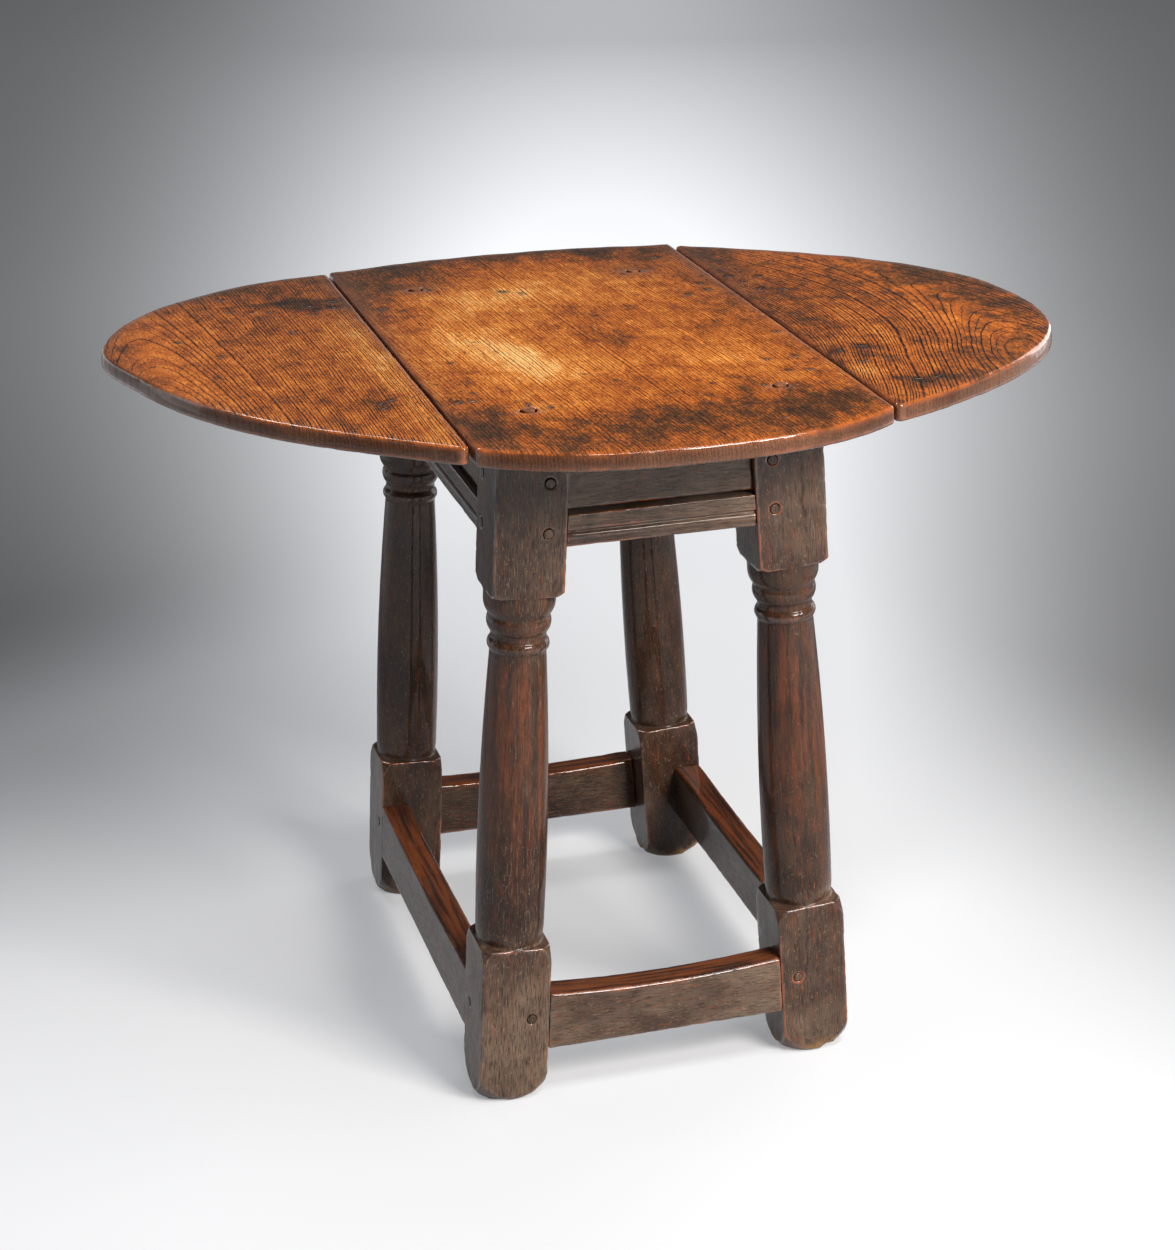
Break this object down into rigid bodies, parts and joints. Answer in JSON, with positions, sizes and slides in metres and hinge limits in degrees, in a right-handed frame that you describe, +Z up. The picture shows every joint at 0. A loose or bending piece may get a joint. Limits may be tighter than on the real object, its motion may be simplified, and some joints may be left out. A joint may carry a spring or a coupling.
{
  "type": "drop-leaf table",
  "caption": "Small oval drop-leaf occasional table of joined oak, with canted turned legs, low stretchers worn by feet, and pull-out lopers under the leaves.",
  "frame": {"origin": "on the floor, under the middle of the box round the level top", "axes": "+X towards the right leaf, the front edge at -Y, +Z up"},
  "size_m": [0.905, 0.7285, 0.68],
  "materials": {
    "top_wood": "waxed, worn",
    "leaf_wood": "waxed, worn",
    "leg_wood": "dark stain, waxed, worn at the edges",
    "rail_wood": "dark stain, waxed",
    "stretcher_wood": "dark stain, worn bright on top",
    "peg_wood": "dark, waxed",
    "loper_wood": "plain, unpolished",
    "loper_peg_wood": "pale, unfinished",
    "hinge_iron": "dull, hand wrought",
    "nail_iron": "dull, hand wrought"
  },
  "bodies": {
    "frame": {"centre_board": "top_wood", "cleat_left": "loper_wood", "cleat_right": "loper_wood", "frieze_back": "rail_wood", "frieze_front": "rail_wood", "frieze_left": "rail_wood", "frieze_right": "rail_wood", "hinge_fixed_flap_left_back": "hinge_iron", "hinge_fixed_flap_left_front": "hinge_iron", "hinge_fixed_flap_right_back": "hinge_iron", "hinge_fixed_flap_right_front": "hinge_iron", "hinge_fixed_nails_left_back": "nail_iron", "hinge_fixed_nails_left_front": "nail_iron", "hinge_fixed_nails_right_back": "nail_iron", "hinge_fixed_nails_right_front": "nail_iron", "hinge_pin_left_back": "hinge_iron", "hinge_pin_left_front": "hinge_iron", "hinge_pin_right_back": "hinge_iron", "hinge_pin_right_front": "hinge_iron", "joint_pegs_back": "peg_wood", "joint_pegs_front": "peg_wood", "joint_pegs_left": "peg_wood", "joint_pegs_right": "peg_wood", "leg_back_left": "leg_wood", "leg_back_right": "leg_wood", "leg_front_left": "leg_wood", "leg_front_right": "leg_wood", "lower_rail_back": "rail_wood", "lower_rail_front": "rail_wood", "lower_rail_left": "rail_wood", "lower_rail_right": "rail_wood", "stretcher_back": "stretcher_wood", "stretcher_front": "stretcher_wood", "stretcher_left": "stretcher_wood", "stretcher_right": "stretcher_wood", "top_pegs": "peg_wood"},
    "leaf_left": {"leaf_left": "leaf_wood", "hinge_moving_flap_left_front": "hinge_iron", "hinge_moving_flap_left_back": "hinge_iron", "hinge_moving_nails_left_front": "nail_iron", "hinge_moving_nails_left_back": "nail_iron"},
    "leaf_right": {"leaf_right": "leaf_wood", "hinge_moving_flap_right_front": "hinge_iron", "hinge_moving_flap_right_back": "hinge_iron", "hinge_moving_nails_right_front": "nail_iron", "hinge_moving_nails_right_back": "nail_iron"},
    "loper_left_front": {"loper_left_front": "loper_wood", "loper_pegs_left_front": "loper_peg_wood"},
    "loper_left_back": {"loper_left_back": "loper_wood", "loper_pegs_left_back": "loper_peg_wood"},
    "loper_right_front": {"loper_right_front": "loper_wood", "loper_pegs_right_front": "loper_peg_wood"},
    "loper_right_back": {"loper_right_back": "loper_wood", "loper_pegs_right_back": "loper_peg_wood"}
  },
  "joints": [
    {"name": "leaf_left_hinge", "type": "hinge", "parent": "frame", "child": "leaf_left", "pos_m": [-0.1895, 0.0273, 0.659], "axis": [0, 1, 0], "range_deg": [-90, 0]},
    {"name": "leaf_right_hinge", "type": "hinge", "parent": "frame", "child": "leaf_right", "pos_m": [0.1895, 0.0273, 0.659], "axis": [0, -1, 0], "range_deg": [-90, 0]},
    {"name": "loper_left_front_slide", "type": "slide", "parent": "frame", "child": "loper_left_front", "axis": [-1, 0, 0], "range_m": [0, 0.208]},
    {"name": "loper_left_back_slide", "type": "slide", "parent": "frame", "child": "loper_left_back", "axis": [-1, 0, 0], "range_m": [0, 0.208]},
    {"name": "loper_right_front_slide", "type": "slide", "parent": "frame", "child": "loper_right_front", "axis": [1, 0, 0], "range_m": [0, 0.208]},
    {"name": "loper_right_back_slide", "type": "slide", "parent": "frame", "child": "loper_right_back", "axis": [1, 0, 0], "range_m": [0, 0.208]}
  ]
}
